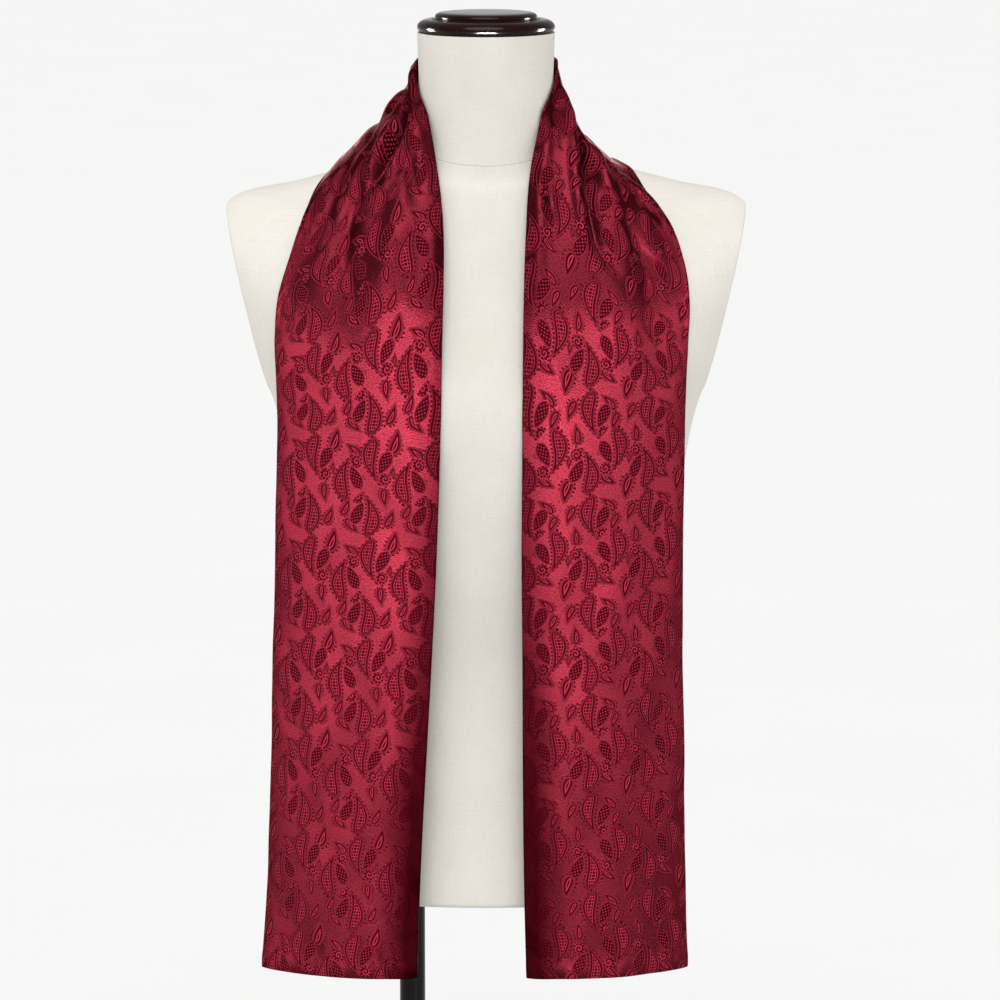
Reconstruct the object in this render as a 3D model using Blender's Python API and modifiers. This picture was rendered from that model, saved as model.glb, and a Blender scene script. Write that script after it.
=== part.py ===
"""A silk scarf hung round the neck of a limbless dress form on a pole and a round base.

Metres, +Z up. The form faces -Y. The origin is the centre of the base's underside, under
the pole. Heights on the cap, the form and the scarf are written as drops below one level
just above the cap, because all of them are measured down from it.
"""

from collections import namedtuple
from math import atan2, cos, pi, radians, sin

import bmesh
import bpy
import numpy as np
from mathutils import Vector
from mathutils.bvhtree import BVHTree

# Driving dimensions of the stand and the form.
DATUM_Z = 1.250
FORM_X = 0.064
TOUCH_GAP = 0.0003

BASE_RADIUS = 0.170
BASE_RIM = 0.007
BASE_CROWN = 0.010
BASE_CROWN_FALL = 0.001
BASE_ROUND = 0.004
BASE_FOOT_BEVEL = 0.0015
BASE_SEGMENTS = 48
BOSS_RADIUS = 0.021
BOSS_TOP = 0.040
BOSS_ROUND = 0.003
BOSS_FILLET = 0.006
SOCKET_FLOOR = 0.005
POLE_RADIUS = 0.011
POLE_IN_FORM = 0.045
POLE_SEGMENTS = 32

CAP_Y = -0.008
CAP_DROP = 0.0054
CAP_DISC_RADIUS = 0.0426
CAP_DISC_FOOT = 0.0058
CAP_RING_RADIUS = 0.0577
CAP_RING_FOOT = 0.0168
CAP_DOME = 0.0003
CAP_DISC_ROUND = 0.0030
CAP_WAIST_IN = 0.0003
CAP_WAIST_OUT = 0.0022
CAP_FOOT_IN = 0.0040
CAP_SEGMENTS = 36
NECK_TOP_DROP = CAP_DROP + CAP_RING_FOOT + TOUCH_GAP

FORM_BOTTOM_DROP = 0.750
FORM_AROUND = 36
FORM_STEPS = 3
FORM_EDGE = 0.004
FORM_EDGE_SHOULDER = 0.3

# The flat arm ends lie in a plane that leans in from the shoulder tip.
ARM_TIP_X = 0.2185
ARM_TIP_DROP = 0.164
ARM_LOW_X = 0.1805
ARM_LOW_DROP = 0.334
ARM_BLOCK = 0.5
SOCKET_LEAD = 0.02
SHARP_ANGLE = 40

# Driving dimensions of the scarf.
SCARF_WALL = 0.002
SCARF_OFF_FORM = 0.0014
HEM_DROP = 0.8065
HEM_SLANT = 0.0030
SCARF_SHIFT = -0.0011
TURN_STEP = 0.012
TAIL_STEP = 0.025
ACROSS_STEPS = 14
EDGE_CROWDING = 0.045
INNER_ROLL = 0.006
OUTER_ROLL = 0.004
ROLL_WIDTH = 0.055

# One level of the form. side is half its width; front, middle and back are the y of its
# foremost, widest and rearmost points, each at its own drop; square is 2 for an ellipse.
Level = namedtuple("Level", "side front middle back side_drop front_drop back_drop square")
FORM_LEVELS = (
    Level(0.0574, -0.0654, -0.008, 0.0494, NECK_TOP_DROP, NECK_TOP_DROP, NECK_TOP_DROP, 2.0),
    Level(0.0570, -0.0645, -0.006, 0.0520, 0.070, 0.080, 0.062, 2.0),
    Level(0.0625, -0.0660, -0.004, 0.0600, 0.106, 0.130, 0.090, 2.0),
    Level(0.1000, -0.0730, 0.002, 0.0760, 0.1310, 0.150, 0.115, 2.0),
    Level(0.1600, -0.0820, 0.006, 0.0890, 0.1490, 0.178, 0.145, 2.0),
    Level(0.2140, -0.0930, 0.008, 0.1000, 0.1630, 0.210, 0.180, 2.1),
    Level(0.2330, -0.1050, 0.007, 0.1090, 0.1930, 0.250, 0.230, 2.1),
    Level(0.2150, -0.1150, 0.004, 0.1110, 0.2520, 0.298, 0.286, 2.1),
    Level(0.1790, -0.1190, 0.000, 0.1080, 0.3350, 0.348, 0.342, 2.1),
    Level(0.1640, -0.1130, -0.002, 0.0980, 0.4200, 0.424, 0.424, 2.1),
    Level(0.1500, -0.1010, -0.002, 0.0880, 0.5300, 0.530, 0.530, 2.15),
    Level(0.1540, -0.1030, 0.000, 0.0990, 0.6400, 0.640, 0.640, 2.2),
    Level(0.1590, -0.1070, 0.002, 0.1090, 0.7500, 0.750, 0.750, 2.25),
)

# One line across the scarf, from its inner edge at the neck to its outer edge. x is
# measured outward from the form's middle. bow is how far the line's middle stands out from
# the straight line between its ends, and is negative where the cloth sags inward.
Row = namedtuple("Row", "in_x in_y in_drop out_x out_y out_drop bow")
BACK_ROW = Row(0.0, 0.0560, 0.040, 0.0, 0.1080, 0.176, 0.000)
RIGHT_TURN = (
    Row(0.0360, 0.0440, 0.041, 0.0560, 0.1050, 0.169, -0.001),
    Row(0.0575, 0.0200, 0.043, 0.0970, 0.0780, 0.148, -0.006),
    Row(0.0615, -0.0060, 0.047, 0.1100, 0.0340, 0.135, -0.011),
    Row(0.0590, -0.0200, 0.062, 0.1265, -0.0150, 0.149, -0.009),
    Row(0.0478, -0.0480, 0.090, 0.1518, -0.0480, 0.168, 0.003),
    Row(0.0380, -0.0690, 0.129, 0.1662, -0.0660, 0.204, 0.011),
    Row(0.0342, -0.0960, 0.176, 0.1713, -0.0740, 0.240, 0.013),
    Row(0.0325, -0.1130, 0.222, 0.1707, -0.0760, 0.272, 0.013),
    Row(0.0318, -0.1210, 0.275, 0.1696, -0.0760, 0.305, 0.012),
)
LEFT_TURN = (
    Row(0.0360, 0.0440, 0.041, 0.0570, 0.1050, 0.169, -0.001),
    Row(0.0575, 0.0200, 0.043, 0.1000, 0.0780, 0.146, -0.004),
    Row(0.0610, -0.0060, 0.047, 0.1220, 0.0340, 0.133, -0.005),
    Row(0.0575, -0.0220, 0.064, 0.1360, -0.0160, 0.142, -0.003),
    Row(0.0470, -0.0480, 0.092, 0.1506, -0.0470, 0.166, 0.005),
    Row(0.0390, -0.0680, 0.129, 0.1626, -0.0650, 0.200, 0.011),
    Row(0.0338, -0.0960, 0.175, 0.1728, -0.0740, 0.236, 0.013),
    Row(0.0336, -0.1130, 0.222, 0.1760, -0.0760, 0.270, 0.013),
    Row(0.0350, -0.1205, 0.275, 0.1752, -0.0760, 0.305, 0.012),
)

# A tail's level rows, from the chest to the hem.
Hang = namedtuple("Hang", "drop in_x out_x")
RIGHT_HANG = (
    Hang(0.345, 0.0315, 0.1684),
    Hang(0.450, 0.0309, 0.1677),
    Hang(0.550, 0.0317, 0.1683),
    Hang(0.650, 0.0322, 0.1701),
    Hang(0.740, 0.0334, 0.1718),
    Hang(HEM_DROP, 0.0352, 0.1740),
)
LEFT_HANG = (
    Hang(0.345, 0.0366, 0.1742),
    Hang(0.450, 0.0400, 0.1774),
    Hang(0.550, 0.0450, 0.1799),
    Hang(0.650, 0.0506, 0.1828),
    Hang(0.740, 0.0549, 0.1866),
    Hang(HEM_DROP, 0.0570, 0.1908),
)
HANG_IN_Y = -0.1255
HANG_OUT_Y = -0.0750
HANG_BOW = 0.012

# A soft trough across the cloth's turn over the shoulder. Its ends are given as a row
# number, counted from the back, and as the share of the width from the inner edge.
Crease = namedtuple("Crease", "row_a across_a row_b across_b depth width")
RIGHT_CREASES = (
    Crease(1.6, 0.42, 6.6, 0.50, 0.0075, 0.075),
    Crease(1.8, 0.62, 5.2, 0.76, 0.0050, 0.085),
    Crease(4.5, 0.66, 9.5, 0.80, 0.0040, 0.090),
)
LEFT_CREASES = (
    Crease(1.4, 0.24, 6.2, 0.44, 0.0085, 0.070),
    Crease(2.0, 0.23, 4.2, 0.27, 0.0060, 0.070),
    Crease(5.0, 0.46, 9.8, 0.66, 0.0045, 0.090),
)

# In front of these rows the cloth clears the form by moving forward only.
FORWARD_FROM_ROW = 3.6
FORWARD_ROWS = 1.2
CLEARING_TRIES = 6
LEAST_LEAN = 0.3

# The turn's row after which the cloth is counted as a tail and no longer as the neck wrap.
TAIL_FROM_ROW = 3.4

WOOD = ((0.035, 0.012, 0.010), 0.18, 0.0)
LINEN = ((0.80, 0.76, 0.68), 0.85, 0.0)
GLOSS_BLACK = ((0.012, 0.011, 0.011), 0.22, 0.6)
CRIMSON = ((0.33, 0.010, 0.045), 0.36, 0.0)


def clear_scene():
    for obj in list(bpy.data.objects):
        bpy.data.objects.remove(obj, do_unlink=True)


def new_collection(name):
    group = bpy.data.collections.new(name)
    bpy.context.scene.collection.children.link(group)
    return group


def new_material(name, finish):
    colour, roughness, metallic = finish
    material = bpy.data.materials.new(name)
    material.use_nodes = True
    shader = material.node_tree.nodes["Principled BSDF"]
    shader.inputs["Base Color"].default_value = (*colour, 1.0)
    shader.inputs["Roughness"].default_value = roughness
    shader.inputs["Metallic"].default_value = metallic
    material.diffuse_color = (*colour, 1.0)
    return material


def new_object(name, mesh, group, material=None):
    obj = bpy.data.objects.new(name, mesh)
    group.objects.link(obj)
    if material:
        mesh.materials.append(material)
    return obj


def mesh_from(name, points, faces):
    mesh = bpy.data.meshes.new(name)
    mesh.from_pydata([tuple(point) for point in points], [], faces)
    shaded = bmesh.new()
    shaded.from_mesh(mesh)
    bmesh.ops.recalc_face_normals(shaded, faces=shaded.faces)
    shaded.to_mesh(mesh)
    shaded.free()
    mesh.shade_smooth()
    mesh.set_sharp_from_angle(angle=radians(SHARP_ANGLE))
    return mesh


def smooth_through(knots, values, at):
    """A curve through values at rising knots, read at each place in at."""
    knots = np.asarray(knots, float)
    values = np.asarray(values, float)
    steps = np.diff(knots)
    slopes = np.diff(values, axis=0) / steps[:, None]
    tangents = np.empty_like(values)
    tangents[0] = slopes[0]
    tangents[-1] = slopes[-1]
    share = (steps[:-1] / (steps[:-1] + steps[1:]))[:, None]
    tangents[1:-1] = slopes[:-1] * (1 - share) + slopes[1:] * share
    span = np.clip(np.searchsorted(knots, at, side="right") - 1, 0, len(knots) - 2)
    width = steps[span][:, None]
    t = ((at - knots[span]) / steps[span])[:, None]
    start = values[span] * (1 + 2 * t) * (1 - t) ** 2 + tangents[span] * width * t * (1 - t) ** 2
    end = values[span + 1] * t * t * (3 - 2 * t) - tangents[span + 1] * width * t * t * (1 - t)
    return start + end


def turned(name, profile, group, material, segments, place):
    """A turned solid: its profile is radius and height, from the top down its outer side."""
    mesh = bpy.data.meshes.new(name)
    points = [(radius, 0.0, height) for radius, height in profile]
    mesh.from_pydata(points, [(i, i + 1) for i in range(len(points) - 1)], [])
    obj = new_object(name, mesh, group, material)
    obj.location = place
    screw = obj.modifiers.new("turn", "SCREW")
    screw.steps = segments
    screw.render_steps = segments
    screw.use_merge_vertices = True
    screw.merge_threshold = 0.00001
    screw.use_smooth_shade = True
    return obj


def arc(centre, radius, start, end, steps):
    """Points on an arc of a profile, with its angles in degrees."""
    turn = [radians(start + (end - start) * step / steps) for step in range(steps + 1)]
    return [(centre[0] + radius * cos(a), centre[1] + radius * sin(a)) for a in turn]


def build_neck_cap(group):
    """Two tiers of turned wood: a shallow domed disc on a wider ring with a round edge."""
    ring_round = (CAP_RING_FOOT - CAP_DISC_FOOT) / 2
    disc_round_at = (CAP_DISC_RADIUS - CAP_DISC_ROUND, -CAP_DOME * 2 - CAP_DISC_ROUND)
    profile = [(0.0, 0.0), (CAP_DISC_RADIUS * 0.7, -CAP_DOME)]
    profile += arc(disc_round_at, CAP_DISC_ROUND, 80, 0, 4)
    profile += [(CAP_DISC_RADIUS - CAP_WAIST_IN, -CAP_DISC_FOOT + CAP_WAIST_IN * 2)]
    profile += [(CAP_DISC_RADIUS + CAP_WAIST_OUT, -CAP_DISC_FOOT + CAP_WAIST_IN / 3)]
    profile += arc((CAP_RING_RADIUS - ring_round, -CAP_DISC_FOOT - ring_round), ring_round, 90, -70, 7)
    profile += [(CAP_RING_RADIUS - CAP_FOOT_IN, -CAP_RING_FOOT), (0.0, -CAP_RING_FOOT)]
    wood = new_material("lacquered wood", WOOD)
    return turned("neck_cap", profile, group, wood, CAP_SEGMENTS, (FORM_X, CAP_Y, DATUM_Z - CAP_DROP))


def build_base(group):
    """A round steel plate, a little crowned, with a boss whose socket holds the pole."""
    inner = POLE_RADIUS + TOUCH_GAP
    profile = [(0.0, SOCKET_FLOOR), (inner, SOCKET_FLOOR), (inner, BOSS_TOP)]
    profile += arc((BOSS_RADIUS - BOSS_ROUND, BOSS_TOP - BOSS_ROUND), BOSS_ROUND, 90, 0, 3)
    profile += [(BOSS_RADIUS, BASE_CROWN + BOSS_FILLET)]
    profile += [(BOSS_RADIUS + BOSS_FILLET / 3, BASE_CROWN + BOSS_FILLET / 3)]
    profile += [(BOSS_RADIUS + BOSS_FILLET, BASE_CROWN), (BASE_RADIUS * 0.6, BASE_CROWN - BASE_CROWN_FALL)]
    profile += arc((BASE_RADIUS - BASE_ROUND, BASE_RIM - BASE_ROUND), BASE_ROUND, 80, 0, 3)
    profile += [(BASE_RADIUS, BASE_FOOT_BEVEL), (BASE_RADIUS - BASE_FOOT_BEVEL, 0.0), (0.0, 0.0)]
    steel = new_material("black steel", GLOSS_BLACK)
    return turned("base_plate", profile, group, steel, BASE_SEGMENTS, (0, 0, 0))


def pole_top():
    return DATUM_Z - FORM_BOTTOM_DROP + POLE_IN_FORM


def build_pole(group, material):
    foot = SOCKET_FLOOR + TOUCH_GAP
    height = pole_top() - foot
    bpy.ops.mesh.primitive_cylinder_add(
        vertices=POLE_SEGMENTS, radius=POLE_RADIUS, depth=height, location=(0, 0, foot + height / 2)
    )
    pole = bpy.context.object
    move_to(pole, group)
    pole.name = "pole"
    pole.data.name = "pole"
    pole.data.materials.append(material)
    pole.data.shade_smooth()
    pole.data.set_sharp_from_angle(angle=radians(SHARP_ANGLE))
    return pole


def move_to(obj, group):
    for old in list(obj.users_collection):
        old.objects.unlink(obj)
    group.objects.link(obj)


def signed_power(value, power):
    return np.sign(value) * np.abs(value) ** power


def form_ring(level, count):
    """One closed line round the form, as rows of x, y and drop."""
    turn = np.arange(count) * 2 * pi / count
    reach = 2 / level.square
    across = signed_power(np.cos(turn), reach)
    depth = signed_power(np.sin(turn), reach)
    far = np.where(depth < 0, level.middle - level.front, level.back - level.middle)
    far_drop = np.where(depth < 0, level.front_drop, level.back_drop)
    share = np.sin(turn) ** 2
    drop = level.side_drop * (1 - share) + far_drop * share
    return np.stack([level.side * across, level.middle + far * depth, drop], axis=1)


def form_levels():
    """The table's levels with smooth ones between them, and a small round at the foot."""
    rows = np.array(FORM_LEVELS)
    travel = np.hypot(np.diff(rows[:, 0]), np.diff(rows[:, 4:7].mean(axis=1)))
    knots = np.concatenate([[0], np.cumsum(travel)])
    at = np.concatenate([
        np.linspace(a, b, FORM_STEPS, endpoint=False) for a, b in zip(knots, knots[1:])
    ])
    dense = [Level(*row) for row in smooth_through(knots, rows, at)]
    foot = FORM_LEVELS[-1]
    dense.append(shrunk(foot, 0.0, FORM_EDGE))
    dense.append(shrunk(foot, FORM_EDGE * FORM_EDGE_SHOULDER, FORM_EDGE * FORM_EDGE_SHOULDER))
    dense.append(shrunk(foot, FORM_EDGE, 0.0))
    return dense


def shrunk(level, inset, lift):
    return level._replace(
        side=level.side - inset,
        front=level.front + inset,
        back=level.back - inset,
        side_drop=level.side_drop - lift,
        front_drop=level.front_drop - lift,
        back_drop=level.back_drop - lift,
    )


def build_form(group, cutters):
    """The linen body: a loft from neck to foot, cut flat at the arms and socketed below."""
    rings = [form_ring(level, FORM_AROUND) for level in form_levels()]
    points = np.concatenate(rings)
    points[:, 0] += FORM_X
    points[:, 2] = DATUM_Z - points[:, 2]
    faces = []
    for ring in range(len(rings) - 1):
        for step in range(FORM_AROUND):
            a = ring * FORM_AROUND + step
            b = ring * FORM_AROUND + (step + 1) % FORM_AROUND
            faces.append((a, b, b + FORM_AROUND, a + FORM_AROUND))
    faces.append(tuple(range(FORM_AROUND)))
    faces.append(tuple(range(len(points) - FORM_AROUND, len(points))))
    mesh = mesh_from("form_torso", points, faces)
    form = new_object("form_torso", mesh, group, new_material("linen", LINEN))
    for name, side in (("left", -1), ("right", 1)):
        cut(form, arm_cutter(f"cut_arm_{name}", side, cutters))
    cut(form, socket_cutter(cutters))
    return form


def arm_cutter(name, side, cutters):
    """A block whose inner face is the plane of one arm end."""
    lean = atan2(ARM_TIP_X - ARM_LOW_X, ARM_LOW_DROP - ARM_TIP_DROP)
    bpy.ops.mesh.primitive_cube_add(size=ARM_BLOCK)
    cutter = bpy.context.object
    cutter.name = name
    outward = Vector((cos(lean), 0.0, -sin(lean)))
    tip = Vector((ARM_TIP_X, 0.0, DATUM_Z - ARM_TIP_DROP))
    place = tip + outward * ARM_BLOCK / 2
    cutter.location = (FORM_X + side * place.x, 0.0, place.z)
    cutter.rotation_euler = (0.0, side * lean, 0.0)
    return hide_cutter(cutter, cutters)


def socket_cutter(cutters):
    foot = DATUM_Z - FORM_BOTTOM_DROP - SOCKET_LEAD
    top = pole_top() + TOUCH_GAP
    bpy.ops.mesh.primitive_cylinder_add(
        vertices=POLE_SEGMENTS,
        radius=POLE_RADIUS + TOUCH_GAP,
        depth=top - foot,
        location=(0, 0, (foot + top) / 2),
    )
    cutter = bpy.context.object
    cutter.name = "cut_pole_socket"
    return hide_cutter(cutter, cutters)


def hide_cutter(cutter, cutters):
    move_to(cutter, cutters)
    cutter.hide_render = True
    cutter.display_type = "WIRE"
    return cutter


def cut(obj, cutter):
    modifier = obj.modifiers.new(cutter.name, "BOOLEAN")
    modifier.operation = "DIFFERENCE"
    modifier.object = cutter


def surface_tree(obj):
    """The finished surface of an object, for finding its nearest point."""
    bpy.context.view_layer.update()
    graph = bpy.context.evaluated_depsgraph_get()
    return BVHTree.FromObject(obj, graph)


def side_rows(turn, hang, side):
    """Every table row of one side, from the back to the hem, with x to its own side."""
    rows = [BACK_ROW, *turn]
    for level in hang:
        rows.append(Row(
            level.in_x, HANG_IN_Y, level.drop, level.out_x, HANG_OUT_Y, level.drop, HANG_BOW
        ))
    rows[-1] = rows[-1]._replace(out_drop=HEM_DROP + HEM_SLANT)
    table = np.array(rows)
    table[:, [0, 3]] = table[:, [0, 3]] * side + SCARF_SHIFT
    return table


def row_places(table, turn_count):
    """Where along the table to read it, in row numbers: close on the turn, wide on the tail."""
    edges = np.linalg.norm(np.diff(table[:, 3:6], axis=0), axis=1)
    edges = (edges + np.linalg.norm(np.diff(table[:, 0:3], axis=0), axis=1)) / 2
    places = []
    for row, length in enumerate(edges):
        step = TURN_STEP if row < turn_count else TAIL_STEP
        count = max(1, round(length / step))
        places.append(np.linspace(row, row + 1, count, endpoint=False))
    return np.concatenate([*places, [len(edges)]]), edges


def read_rows(table, places, edges):
    knots = np.concatenate([[0], np.cumsum(edges)])
    at = np.interp(places, np.arange(len(knots)), knots)
    mirrored = table[1:2].copy()
    mirrored[:, [0, 3]] = 2 * SCARF_SHIFT - mirrored[:, [0, 3]]
    lead = np.concatenate([[-edges[0]], knots])
    return smooth_through(lead, np.concatenate([mirrored, table]), at)


def crease_depth(creases, places, across):
    """How far each point is sunk by the troughs of one side, rows by columns."""
    sunk = np.zeros((len(places), len(across)))
    for crease in creases:
        share = (places - crease.row_a) / (crease.row_b - crease.row_a)
        inside = np.clip(share, 0, 1)
        strength = crease.depth * np.sin(pi * inside) ** 0.8
        centre = crease.across_a + (crease.across_b - crease.across_a) * inside
        gap = (across[None, :] - centre[:, None]) / crease.width
        sunk += strength[:, None] * np.exp(-gap ** 2)
    return sunk


def grid_normals(grid):
    along = np.gradient(grid, axis=0)
    sideways = np.gradient(grid, axis=1)
    normals = np.cross(along, sideways)
    return normals / np.linalg.norm(normals, axis=2, keepdims=True)


def across_places():
    """Shares of the width, closer together at both edges."""
    even = np.linspace(0, 1, ACROSS_STEPS + 1)
    return even - EDGE_CROWDING * np.sin(2 * pi * even)


def scarf_grid(form_tree):
    """The scarf's middle surface, from the left hem round the neck to the right hem."""
    across = across_places()
    sides = []
    sunk = []
    places = []
    for turn, hang, creases, side in (
        (LEFT_TURN, LEFT_HANG, LEFT_CREASES, -1),
        (RIGHT_TURN, RIGHT_HANG, RIGHT_CREASES, 1),
    ):
        table = side_rows(turn, hang, side)
        at, edges = row_places(table, len(turn))
        rows = read_rows(table, at, edges)
        depth = crease_depth(creases, at, across)
        if side < 0:
            rows, depth, at = rows[::-1], depth[::-1], -at[::-1]
        else:
            rows, depth, at = rows[1:], depth[1:], at[1:]
        sides.append(rows)
        sunk.append(depth)
        places.append(at)
    rows = np.concatenate(sides)
    sunk = np.concatenate(sunk)
    inner, outer, bow = rows[:, None, 0:3], rows[:, None, 3:6], rows[:, None, 6:7]
    share = across[None, :, None]
    grid = inner * (1 - share) + outer * share
    grid[:, :, 2] = DATUM_Z - grid[:, :, 2]
    grid[:, :, 0] += FORM_X
    outward = grid_normals(grid)
    grid = grid + outward * bow * 4 * share * (1 - share)
    rolled = INNER_ROLL * np.exp(-across / ROLL_WIDTH) + OUTER_ROLL * np.exp(-(1 - across) / ROLL_WIDTH)
    grid = grid - grid_normals(grid) * (sunk + rolled[None, :])[:, :, None]
    places = np.concatenate(places)
    return clear_of_form(grid, places, form_tree), places


def clear_of_form(grid, places, tree):
    """Moves each point that is in the form, or too near it, out to its resting distance.

    Behind the shoulder a point moves straight out. In front it moves forward only, which
    keeps the scarf's outline as seen from the front.
    """
    rest = SCARF_WALL / 2 + SCARF_OFF_FORM
    forward = np.array((0.0, -1.0, 0.0))
    for row, place in zip(grid, np.abs(places)):
        share = min(max((place - FORWARD_FROM_ROW) / FORWARD_ROWS, 0.0), 1.0)
        for point in row:
            for _ in range(CLEARING_TRIES):
                near, normal, _, _ = tree.find_nearest(Vector(point))
                normal = np.array(normal)
                height = (point - np.array(near)) @ normal
                if height >= rest:
                    break
                way = normal * (1 - share) + forward * share
                point += way * (rest - height) / max(way @ normal, LEAST_LEAN)
    return grid


def sheet_solid(name, grid, normals, group, material):
    """A closed wall on both sides of a grid of points."""
    rows, columns = grid.shape[:2]
    half = SCARF_WALL / 2
    points = np.concatenate([
        (grid + normals * half).reshape(-1, 3), (grid - normals * half).reshape(-1, 3)
    ])
    under = rows * columns
    faces = []
    for row in range(rows - 1):
        for column in range(columns - 1):
            a = row * columns + column
            b = a + columns
            faces.append((a, b, b + 1, a + 1))
            faces.append((under + a, under + a + 1, under + b + 1, under + b))
    for start in (0, (rows - 1) * columns):
        for a in range(start, start + columns - 1):
            faces.append((a, a + 1, under + a + 1, under + a))
    for start in (0, columns - 1):
        for a in range(start, start + (rows - 1) * columns, columns):
            faces.append((a, a + columns, under + a + columns, under + a))
    mesh = mesh_from(name, points, faces)
    return new_object(name, mesh, group, material)


def build_scarf(group, form):
    """The worn cloth as three stretches: the left tail, the wrap at the neck, the right tail."""
    material = new_material("crimson silk", CRIMSON)
    grid, places = scarf_grid(surface_tree(form))
    normals = grid_normals(grid)
    along = np.gradient(grid, axis=0)
    along /= np.linalg.norm(along, axis=2, keepdims=True)
    left_end = int(np.searchsorted(places, -TAIL_FROM_ROW))
    right_end = int(np.searchsorted(places, TAIL_FROM_ROW))
    stretches = (
        ("scarf_left_tail", 0, left_end),
        ("scarf_neck_wrap", left_end, right_end),
        ("scarf_right_tail", right_end, len(grid) - 1),
    )
    for name, first, last in stretches:
        part = grid[first:last + 1].copy()
        if first > 0:
            part[0] += along[first] * TOUCH_GAP / 2
        if last < len(grid) - 1:
            part[-1] -= along[last] * TOUCH_GAP / 2
        sheet_solid(name, part, normals[first:last + 1], group, material)
    return grid


def main():
    clear_scene()
    group = new_collection("silk scarf on a dress form")
    cutters = new_collection("cutters")
    base = build_base(group)
    build_pole(group, base.data.materials[0])
    form = build_form(group, cutters)
    build_neck_cap(group)
    grid = build_scarf(group, form)
    inner = np.linalg.norm(np.diff(grid[:, 0], axis=0), axis=1).sum()
    outer = np.linalg.norm(np.diff(grid[:, -1], axis=0), axis=1).sum()
    print(f"scarf edge lengths: inner {inner:.3f} m, outer {outer:.3f} m")


main()
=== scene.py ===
from collections import namedtuple
from functools import partialmethod
from math import atan, atan2, cos, pi, radians, sin

import bmesh
import bpy
import numpy as np
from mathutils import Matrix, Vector
from mathutils.bvhtree import BVHTree


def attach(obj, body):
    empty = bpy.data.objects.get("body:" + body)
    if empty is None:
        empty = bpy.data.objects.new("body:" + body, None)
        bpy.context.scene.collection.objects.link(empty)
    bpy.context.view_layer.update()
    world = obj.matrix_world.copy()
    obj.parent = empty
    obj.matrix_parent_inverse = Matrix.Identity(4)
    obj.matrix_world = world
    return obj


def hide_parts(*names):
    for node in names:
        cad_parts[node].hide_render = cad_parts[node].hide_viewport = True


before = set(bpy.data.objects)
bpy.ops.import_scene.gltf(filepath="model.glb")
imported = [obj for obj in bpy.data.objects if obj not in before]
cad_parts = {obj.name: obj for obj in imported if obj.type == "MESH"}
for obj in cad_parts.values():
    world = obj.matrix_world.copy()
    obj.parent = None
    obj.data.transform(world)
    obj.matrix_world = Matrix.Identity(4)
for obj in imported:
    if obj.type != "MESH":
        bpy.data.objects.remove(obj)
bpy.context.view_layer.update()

# ---- Sizes that the solids share, in metres. Drops are measured down from a level over the cap.
DATUM_Z = 1.250
FORM_X = 0.064
CAP_Y = -0.008
CAP_DROP = 0.0054
NECK_TOP_DROP = 0.0225
FORM_EDGE = 0.004
ARM_TIP_X = 0.2185
ARM_TIP_DROP = 0.164
ARM_LOW_X = 0.1805
ARM_LOW_DROP = 0.334
ARM_BELOW = 0.012
POLE_HOLE = 0.0113
POLE_HOLE_FOOT = 0.48
POLE_TOP = 0.5453
SCARF_SHIFT = -0.0011
SCARF_WIDTH = 0.150
HEM_DROP = 0.8065
HEM_SLANT = 0.0030

Level = namedtuple("Level", "side front middle back side_drop front_drop back_drop square")
FORM_LEVELS = (
    Level(0.0574, -0.0654, -0.008, 0.0494, NECK_TOP_DROP, NECK_TOP_DROP, NECK_TOP_DROP, 2.0),
    Level(0.0570, -0.0645, -0.006, 0.0520, 0.070, 0.080, 0.062, 2.0),
    Level(0.0625, -0.0660, -0.004, 0.0600, 0.106, 0.130, 0.090, 2.0),
    Level(0.1000, -0.0730, 0.002, 0.0760, 0.1310, 0.150, 0.115, 2.0),
    Level(0.1600, -0.0820, 0.006, 0.0890, 0.1490, 0.178, 0.145, 2.0),
    Level(0.2140, -0.0930, 0.008, 0.1000, 0.1630, 0.210, 0.180, 2.1),
    Level(0.2330, -0.1050, 0.007, 0.1090, 0.1930, 0.250, 0.230, 2.1),
    Level(0.2150, -0.1150, 0.004, 0.1110, 0.2520, 0.298, 0.286, 2.1),
    Level(0.1790, -0.1190, 0.000, 0.1080, 0.3350, 0.348, 0.342, 2.1),
    Level(0.1640, -0.1130, -0.002, 0.0980, 0.4200, 0.424, 0.424, 2.1),
    Level(0.1500, -0.1010, -0.002, 0.0880, 0.5300, 0.530, 0.530, 2.15),
    Level(0.1540, -0.1030, 0.000, 0.0990, 0.6400, 0.640, 0.640, 2.2),
    Level(0.1590, -0.1070, 0.002, 0.1090, 0.7500, 0.750, 0.750, 2.25),
)

# One line across the scarf, from its inner edge at the neck to its outer edge.
Row = namedtuple("Row", "in_x in_y in_drop out_x out_y out_drop bow")
BACK_ROW = Row(0.0, 0.0560, 0.040, 0.0, 0.1080, 0.176, 0.000)
RIGHT_TURN = (
    Row(0.0360, 0.0440, 0.041, 0.0560, 0.1050, 0.169, -0.001),
    Row(0.0575, 0.0200, 0.043, 0.0970, 0.0780, 0.148, -0.006),
    Row(0.0615, -0.0060, 0.047, 0.1100, 0.0340, 0.135, -0.011),
    Row(0.0590, -0.0200, 0.062, 0.1265, -0.0150, 0.149, -0.009),
    Row(0.0478, -0.0480, 0.090, 0.1518, -0.0480, 0.168, 0.003),
    Row(0.0380, -0.0690, 0.129, 0.1662, -0.0660, 0.204, 0.011),
    Row(0.0342, -0.0960, 0.176, 0.1713, -0.0740, 0.240, 0.013),
    Row(0.0325, -0.1130, 0.222, 0.1707, -0.0760, 0.272, 0.013),
    Row(0.0318, -0.1210, 0.275, 0.1696, -0.0760, 0.305, 0.012),
)
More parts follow.
